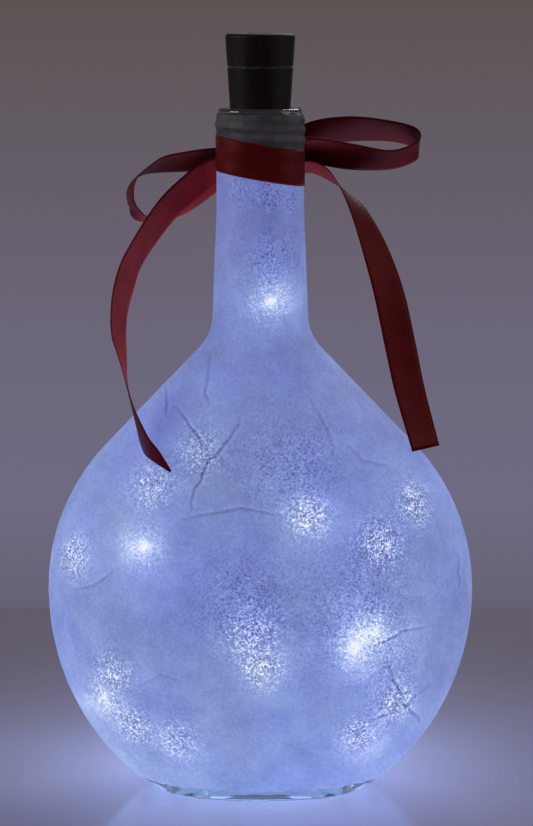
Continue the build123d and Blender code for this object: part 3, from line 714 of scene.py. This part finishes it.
knot_middle = np.array([0.0, 17.85, 204.0])
knot_side = 5.75
ribbon_width, ribbon_thickness, ribbon_steps = 11.2, 0.3, 12
cup_height, pleat_height, pleats = 0.22, 0.55, 3
selvedge_from, selvedge_share, cloth_run = 0.49, 0.55, 100.0
band_edge, band_wrinkles = 0.2, ((0.05, 3, 9), (0.04, 7, -14))
loop_right = [
    ((knot_side, 0.75, 3.2), (0.0, -0.38, 0.47)),
    ((16.0, 1.75, 8.2), (0.05, -0.63, 0.78)),
    ((29.0, 0.2, 10.4), (0.06, -0.66, 0.75)),
    ((42.0, -2.9, 9.9), (0.06, -0.78, 0.62)),
    ((50.2, -5.9, 7.7), (0.04, -0.80, 0.60)),
    ((50.6, -8.6, 4.0), (0.0, -0.80, 0.60)),
    ((42.0, -9.6, 1.0), (-0.04, -0.80, 0.60)),
    ((29.0, -8.9, 2.0), (-0.08, -0.60, 0.80)),
    ((16.0, -6.05, 3.7), (-0.08, -0.61, 0.79)),
    ((knot_side, -0.65, 2.0), (0.0, -0.38, 0.47)),
]
loop_left = [
    ((-knot_side, 0.55, 2.4), (0.0, -0.44, 0.40)),
    ((-14.6, -0.85, 0.9), (0.04, -0.76, 0.65)),
    ((-23.0, -3.45, 0.2), (0.10, -0.76, 0.64)),
    ((-33.6, -8.05, -1.0), (0.40, -0.76, 0.52)),
    ((-40.2, -11.45, -5.0), (0.22, -0.95, 0.20)),
    ((-41.9, -12.85, -9.8), (0.25, -0.97, 0.06)),
    ((-40.6, -12.3, -14.2), (0.25, -0.96, 0.10)),
    ((-36.6, -9.4, -17.4), (0.24, -0.92, 0.31)),
    ((-25.0, -1.85, -15.0), (0.10, -0.86, 0.50)),
    ((-14.0, 1.35, -6.4), (0.0, -0.76, 0.65)),
    ((-knot_side, -0.85, 0.4), (0.0, -0.44, 0.40)),
]
tail_left = [
    ((-knot_side, -1.45, -3.2), (0.0, -0.44, 0.40)),
    ((-15.6, -6.25, -3.6), (-0.30, -0.64, 0.70)),
    ((-24.0, -13.85, -9), (-0.40, -0.64, 0.66)),
    ((-31.4, -18.85, -16.2), (-0.50, -0.72, 0.46)),
    ((-40.2, -23.45, -29.4), (-0.50, -0.82, 0.26)),
    ((-43.4, -26.45, -38.2), (-0.52, -0.84, 0.14)),
    ((-44.9, -29.05, -46), (-0.43, -0.90, 0.04)),
    ((-45.0, -31.45, -53.2), (-0.34, -0.94, 0.0)),
    ((-44.0, -33.65, -59.4), (-0.18, -0.98, 0.0)),
    ((-42.5, -36.65, -66.8), (0.02, -1.0, 0.0)),
    ((-40.0, -39.75, -76.2), (0.16, -0.98, -0.06)),
    ((-36.9, -43.3, -84.6), (0.38, -0.90, -0.18)),
    ((-33.9, -46.1, -90.2), (0.56, -0.78, -0.26)),
    ((-30.6, -48.9, -96.6), (0.66, -0.68, -0.30)),
]
tail_right = [
    ((knot_side, -1.25, -3.2), (0.0, -0.50, 0.33)),
    ((10.4, -1.45, -2.8), (0.02, -0.72, 0.36)),
    ((16.4, -2.65, -2.0), (0.05, -0.92, 0.38)),
    ((22.0, -5.65, -4.0), (0.05, -0.94, 0.32)),
    ((26.8, -8.85, -8.4), (-0.10, -0.99, 0.08)),
    ((31.4, -11.85, -14.8), (-0.40, -0.90, -0.12)),
    ((36.4, -14.85, -26), (-0.70, -0.70, -0.12)),
    ((41.3, -17.45, -41), (-0.86, -0.50, -0.12)),
    ((45.1, -19.85, -58.2), (-0.88, -0.44, -0.16)),
    ((48.2, -22.25, -72.6), (-0.83, -0.50, -0.22)),
    ((53.2, -26.4, -90.6), (-0.66, -0.62, -0.42)),
]
tail_cut = (np.array([-32.1, 0.0, -92.2]), math.radians(25.1))


def smooth(values, place):
    """The value at a place along a row of values, on a curve that passes through each of them."""
    last = len(values) - 1
    k = min(int(place), last - 1)
    t = place - k
    near, far = values[k], values[k + 1]
    before = values[k - 1] if k else near * 2 - far
    after = values[k + 2] if k + 2 <= last else far * 2 - near
    bend = (near * 3 - before - far * 3 + after) * t**3 + (before * 2 - near * 5 + far * 4 - after) * t**2
    return near + (bend + (far - before) * t) * 0.5


def cut_slanting(points, place, slant):
    """A strip's rows of points drawn back so that its end lies on a slanting cut, and the share kept."""
    beyond = (points - knot_middle - place) @ np.array([-math.sin(slant), 0.0, -math.cos(slant)])
    rows = np.arange(len(points))
    last_rows = slice(-30, None)
    trimmed = np.empty_like(points)
    kept = []
    for j in range(points.shape[1]):
        end = np.interp(0.0, beyond[last_rows, j], rows[last_rows])
        kept.append(end / rows[-1])
        for axis in range(3):
            trimmed[:, j, axis] = np.interp(rows * end / rows[-1], rows, points[:, j, axis])
    return trimmed, np.mean(kept)


def ribbon(name, stations, first_way, last_way=None, cut=None):
    """A thin strip of satin through its stations, a little cupped, pleated where it is gathered."""
    middles = knot_middle + np.array([middle for middle, across in stations])
    acrosses = np.array([across for middle, across in stations])
    rows = (len(stations) - 1) * ribbon_steps + 1
    line = np.array([smooth(middles, k / ribbon_steps) for k in range(rows)])
    ways = np.gradient(line, axis=0)
    ways[0] = first_way
    if last_way is not None:
        ways[-1] = last_way
    ways /= np.linalg.norm(ways, axis=1, keepdims=True)
    run = np.concatenate([[0], np.cumsum(np.linalg.norm(np.diff(line, axis=0), axis=1))])
    shares = np.linspace(-0.5, 0.5, 11)
    columns = 2 * len(shares)
    points, threads = [], []
    for k in range(rows):
        across = smooth(acrosses, k / ribbon_steps)
        share = np.linalg.norm(across)
        level = across - ways[k] * (ways[k] @ across)
        level /= np.linalg.norm(level)
        proud = np.cross(ways[k], level)
        gather = np.clip(1 - share, 0, 1)
        for side, row in ((1, shares), (-1, shares[::-1])):
            for s in row:
                pleat = pleat_height * gather * math.cos(pleats * 2 * math.pi * s)
                cup = cup_height * (1 - 4 * s * s) + pleat
                half = ribbon_thickness / 2 * (selvedge_share if abs(s) > selvedge_from else 1.0)
                points.append(line[k] + level * s * ribbon_width * share + proud * (cup + side * half))
                threads.append((run[k] / cloth_run, s * ribbon_width / cloth_run))
    area = ribbon_width * run[-1]
    if cut:
        strip, kept = cut_slanting(np.array(points).reshape(rows, columns, 3), *cut)
        points = strip.reshape(-1, 3)
        area *= kept
    made = make_piece(name + "_satin", points, tube_faces(rows, columns), satin, "bottle", threads)
    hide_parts(name)


def ribbon_band():
    """The ribbon's turn round the neck, slanted and a little wrinkled."""
    turn = np.linspace(0, 2 * math.pi, 160, endpoint=False)
    shares = np.linspace(-0.5, 0.5, 13)
    tall = ribbon_width / math.cos(band_slant)
    points, threads = [], []
    for t in turn:
        for side, row in ((1, shares), (-1, shares[::-1])):
            for s in row:
                wrinkle = sum(h * math.sin(along * t + over * s) for h, along, over in band_wrinkles)
                thick = ribbon_thickness if abs(s) < selvedge_from else band_edge
                radius = band_inner + (thick + wrinkle if side > 0 else 0.0)
                x, y = radius * math.cos(t), radius * math.sin(t)
                points.append((x, y, band_height - x * math.tan(band_slant) + s * tall))
                threads.append((t * band_inner / cloth_run, s * ribbon_width / cloth_run))
    columns = 2 * len(shares)
    faces = ring_faces(len(turn), columns)
    last = (len(turn) - 1) * columns
    for j in range(columns):
        k = (j + 1) % columns
        faces.append((last + j, last + k, k, j))
    made = make_piece("ribbon_neck_band_satin", points, faces, satin, "bottle", threads)
    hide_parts("ribbon_neck_band")


def ribbon_knot():
    """The knot: ribbon wrapped tight round the gather, with creases that run round it."""
    wide, deep, tall, reach = 11.0, 7.0, 12.0, 5.0
    ends, swelling, squareness = 0.62, 0.34, 0.7
    stations = np.concatenate([[-0.5], np.linspace(-0.49, 0.49, 41), [0.5]])
    turn = np.linspace(0, 2 * math.pi, 72, endpoint=False)
    points, threads = [], []
    for s in stations:
        swell = max(1 - abs(2 * s) ** 5, 0.0) ** 0.4
        for t in turn:
            crease = 0.03 * math.cos(2 * math.pi * s * 4.2 + 0.9 * math.sin(t + 0.5))
            crease += 0.018 * math.sin(2 * math.pi * s * 9 + 2 * math.sin(t))
            size = (ends + swelling * swell) * (0.97 + crease)
            flat_y = math.copysign(abs(math.cos(t)) ** squareness, math.cos(t))
            flat_z = math.copysign(abs(math.sin(t)) ** squareness, math.sin(t))
            off = (s * wide, flat_y * size * deep / 2, flat_z * size * tall / 2)
            points.append(knot_middle + np.array(off))
            threads.append((t * reach / cloth_run, s * wide / cloth_run))
    faces = tube_faces(len(stations), len(turn))
    made = make_piece("bow_knot_satin", points, faces, satin, "bottle", threads)
    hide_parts("bow_knot")


ribbon_knot()
ribbon_band()
ribbon("bow_loop_right", loop_right, (1, 0, 0), (-1, 0, 0))
ribbon("bow_loop_left", loop_left, (-1, 0, 0), (1, 0, 0))
ribbon("bow_tail_left", tail_left, (-1, 0, 0), cut=tail_cut)
ribbon("bow_tail_right", tail_right, (1, 0, 0))


# Light string: one wire of two enamelled strands, from the gland down to the last light

gland_top = 211.0
light_run, first_run, end_run = 34.0, 30.0, 8.4
wire_sides, wire_radius, wire_waist = 12, 0.3, 0.72
# The lead runs straight down from the gland, and then over to the first light
route = [Vector((0, 0, gland_top)), Vector((0, 0, 196.84)), Vector((0.952, -2.044, 186.928))]
for number, place in enumerate(lights):
    before = first_run / 2 if number == 0 else light_run / 2
    after = end_run if number == len(lights) - 1 else before
    route.append(place - light_heading(number) * before)
    route.append(place + light_heading(number) * after)


def wire_line():
    """The wire's middle line, read from the route's smooth curve."""
    curve = bpy.data.curves.new("wire_route", "CURVE")
    curve.dimensions = "3D"
    curve.resolution_u = 24
    spline = curve.splines.new("NURBS")
    spline.points.add(len(route) - 1)
    for point, place in zip(spline.points, route):
        point.co = (*(place * MM), 1)
    spline.order_u = 3
    spline.use_endpoint_u = True
    holder = bpy.data.objects.new("wire_route", curve)
    mesh = bpy.data.meshes.new_from_object(holder)
    line = np.array([vertex.co for vertex in mesh.vertices]) / MM
    bpy.data.objects.remove(holder)
    bpy.data.meshes.remove(mesh)
    bpy.data.curves.remove(curve)
    return line


def light_string():
    """The wire as two strands side by side along its line."""
    line = wire_line()
    ways = np.gradient(line, axis=0)
    ways /= np.linalg.norm(ways, axis=1, keepdims=True)
    across = np.cross(ways[0], (0, 1, 0))
    points = []
    for place, way in zip(line, ways):
        across = across - way * (across @ way)
        across /= np.linalg.norm(across)
        proud = np.cross(way, across)
        for k in range(wire_sides):
            turn = 2 * math.pi * k / wire_sides
            radius = wire_radius * (wire_waist + (1 - wire_waist) * abs(math.cos(turn)))
            points.append(place + radius * (across * math.cos(turn) + proud * math.sin(turn)))
    faces = tube_faces(len(line), wire_sides)
    made = make_piece("light_string_wire", points, faces, wire_enamel, None)
    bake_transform(made)
    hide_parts("lead_wire", "string_wire")
    length = np.linalg.norm(np.diff(line, axis=0), axis=1).sum()
    print("light string", round(length), "mm")


light_string()


# Finishes of the pieces that keep their own shape

worn = {
    "glass_bottle": glass,
    "cork_shell": cork,
    "cork_cap": cork,
    "wire_gland": gland_rubber,
    "cap_seal_ring": seal_rubber,
    "negative_contact": contact_brass,
    "positive_contact": contact_brass,
    "side_contact_strip": contact_brass,
    "negative_lead": lead_copper,
    "positive_lead": lead_copper,
    "circuit_board": board_fibreglass,
    "slide_switch_body": switch_nylon,
    "switch_slider": switch_nylon,
    "series_resistor": resistor_ceramic,
}
for number in range(3):
    worn[f"button_cell_{number + 1}"] = cell_steel
for number in range(len(lights)):
    worn[f"light_bead_{number + 1:02d}"] = light_epoxy
for name, finish in worn.items():
    nodes[name].data.materials.clear()
    nodes[name].data.materials.append(finish)


# Stage: a table, a plain background, soft lamps and the camera, in metres


def table_finish():
    """Grey lacquered board, smooth enough for a soft reflection."""
    finish = new_finish("table_lacquer", {"Roughness": 0.12, "IOR": 1.45})
    spot = add(finish, "TexCoord", {}, gives="Object")
    haze = add(finish, "TexNoise", {"Vector": spot, "Scale": per_mm(120.0), "Detail": 3.0})
    tone = add(finish, "ValToRGB", {"Fac": haze}, stops=[(0.3, "#777181"), (0.7, "#7e7888")])
    surface(finish, {"Base Color": tone})
    return finish


def table():
    """A wide table whose far edge lies behind the bottle."""
    left, right, near, far = -1.6, 1.6, -1.6, 0.274
    mesh = bpy.data.meshes.new("table")
    corners = [(left, near, 0), (right, near, 0), (right, far, 0), (left, far, 0)]
    mesh.from_pydata(corners, [], [(0, 1, 2, 3)])
    mesh.materials.append(table_finish())
    made = bpy.data.objects.new("table", mesh)
    bpy.context.scene.collection.objects.link(made)
    return made


def background():
    """Plain soft light all round, and a grey-lilac wall where the camera, gloss and glass look."""
    world = bpy.data.worlds.new("studio")
    world.use_nodes = True
    bpy.context.scene.world = world
    path = world.node_tree.nodes.new("ShaderNodeLightPath").outputs
    seen = path["Is Camera Ray"]
    for ray in ("Is Glossy Ray", "Is Transmission Ray"):
        seen = add(world, "Math", {0: seen, 1: path[ray]}, operation="MAXIMUM")
    # The wall is lit from the table's side, so it darkens upwards
    way = add(world, "TexCoord", {}, gives="Generated")
    height = add(world, "SeparateXYZ", {"Vector": way}, gives="Z")
    height = add(world, "MapRange", {"Value": height, "From Min": -0.21, "From Max": -0.01})
    shades = [(0.0, "#666174"), (1.0, "#5d5352"), (0.16, "#6e6a82")]
    shades += [(0.34, "#6d697e"), (0.67, "#665f6b")]
    wall = add(world, "ValToRGB", {"Fac": height}, stops=shades)
    soft = (0.33, 0.33, 0.35, 1.0)
    colour = add(world, "Mix", {0: seen, 6: soft, 7: wall}, data_type="RGBA")
    fill(world, world.node_tree.nodes["Background"], {"Color": colour})


def left_out(name, pieces):
    """A collection of pieces that a lamp leaves out."""
    group = bpy.data.collections.new(name)
    for piece in pieces:
        group.objects.link(piece)
    for member in group.collection_objects:
        member.light_linking.link_state = "EXCLUDE"
    return group


def lamp(name, place, size, power, spares=()):
    """A soft square lamp aimed at the bottle, whose light is kept off the pieces that it spares."""
    data = bpy.data.lights.new(name, "AREA")
    data.shape = "SQUARE"
    data.size = size
    data.energy = power
    made = bpy.data.objects.new(name, data)
    made.location = place
    aim = Vector((0.0, 0.0, 0.12))
    made.rotation_euler = (aim - Vector(place)).to_track_quat("-Z", "Y").to_euler()
    bpy.context.scene.collection.objects.link(made)
    if spares:
        made.light_linking.receiver_collection = left_out(name, spares)


def let_through(name, place, power, colour):
    """Light that the paper lets out: a lamp that the glass, paper and string neither stop nor take."""
    data = bpy.data.lights.new(name, "POINT")
    data.color = colour
    data.energy = power
    data.shadow_soft_size = 0.03
    made = bpy.data.objects.new(name, data)
    made.location = place
    made.visible_glossy = False
    bpy.context.scene.collection.objects.link(made)
    clear = [bpy.data.objects[piece] for piece in ("tissue_paper_wrap", "light_string_wire")]
    clear += [nodes[node] for node in nodes if node == "glass_bottle" or node.startswith("light_bead")]
    clear = left_out(name, clear)
    made.light_linking.receiver_collection = clear
    made.light_linking.blocker_collection = clear


def camera():
    """The camera in front and a little above, tilted down, its lens from the photo's perspective."""
    picture_height, focal_pixels, tilt = 826, 2968, 8.46
    data = bpy.data.cameras.new("camera")
    data.sensor_width = 36.0
    data.lens = focal_pixels * data.sensor_width / picture_height
    made = bpy.data.objects.new("camera", data)
    made.location = (0.002, -0.950, 0.265)
    made.rotation_euler = (math.radians(90 - tilt), 0, 0)
    bpy.context.scene.collection.objects.link(made)
    bpy.context.scene.camera = made


board = table()
background()
let_through("belly_light", (0.0, 0.025, 0.057), 0.93, (0.43, 0.62, 1.0))
let_through("neck_light", (0.0, 0.0, 0.14), 0.26, (0.75, 0.75, 0.9))
lamp("left", (-1.15, -0.25, 0.6), 0.7, 6.0, spares=[board])
lamp("right", (1.15, -0.3, 0.5), 0.7, 3.0, spares=[board])
lamp("back", (0.25, 0.75, 0.85), 0.6, 4.0)
camera()
bpy.context.scene.view_settings.view_transform = "Standard"
